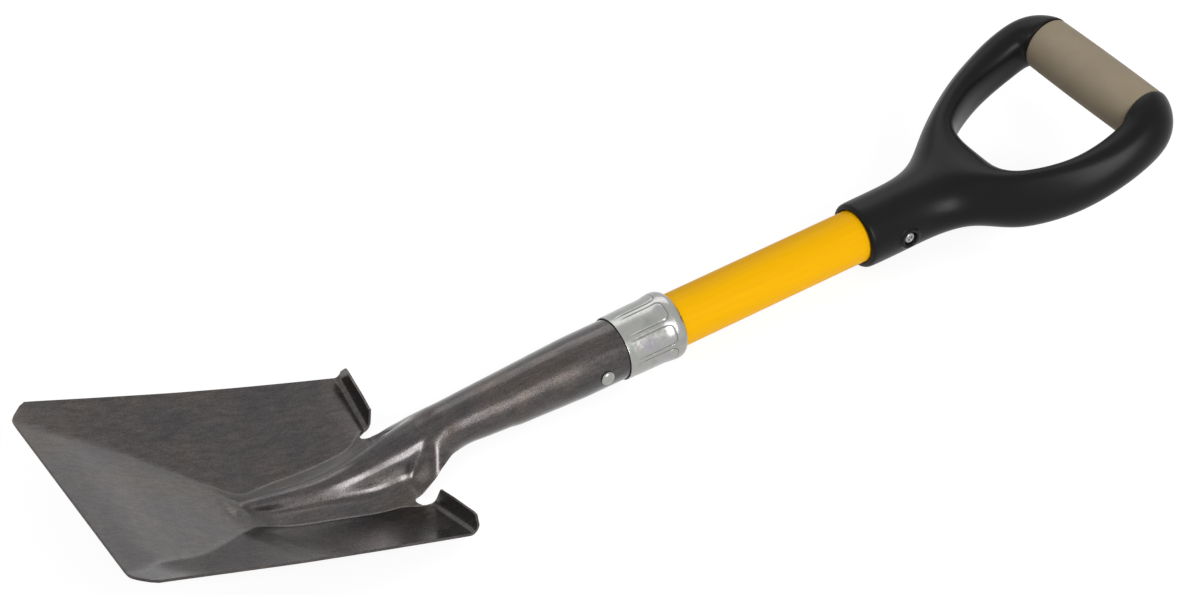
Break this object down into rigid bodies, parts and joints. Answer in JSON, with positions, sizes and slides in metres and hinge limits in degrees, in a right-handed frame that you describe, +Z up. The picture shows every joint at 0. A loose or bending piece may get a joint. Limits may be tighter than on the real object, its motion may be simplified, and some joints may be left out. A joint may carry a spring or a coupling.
{
  "type": "square shovel",
  "caption": "Short D-grip square shovel: dished steel blade with turned-up treads and rolled socket, round shaft, zinc ferrule, cushioned hand grip.",
  "frame": {"origin": "middle of the object's box in X and Y, at the floor the tool lies on", "axes": "+X from the cutting edge to the hand grip, +Y across the blade, +Z up; the tool lies with its hollow side up, resting on the heels of the blade and on the ferrule"},
  "size_m": [0.6862, 0.1528, 0.0832],
  "materials": {
    "head_steel": "dark satin coat, slightly mottled",
    "fibreglass": "satin gloss yellow resin",
    "dowel_wood": "bare wood, hidden inside the shaft",
    "zinc": "bright zinc plating",
    "grip_plastic": "satin black",
    "sleeve_rubber": "matte soft sleeve",
    "screw_steel": "bright plated steel"
  },
  "bodies": {
    "root": {"blade_and_socket": "head_steel", "shaft_tube": "fibreglass", "head_end_dowel": "dowel_wood", "grip_end_dowel": "dowel_wood", "ferrule": "zinc", "head_rivet": "zinc", "d_grip": "grip_plastic", "grip_sleeve": "sleeve_rubber", "grip_screw": "screw_steel"}
  },
  "joints": []
}
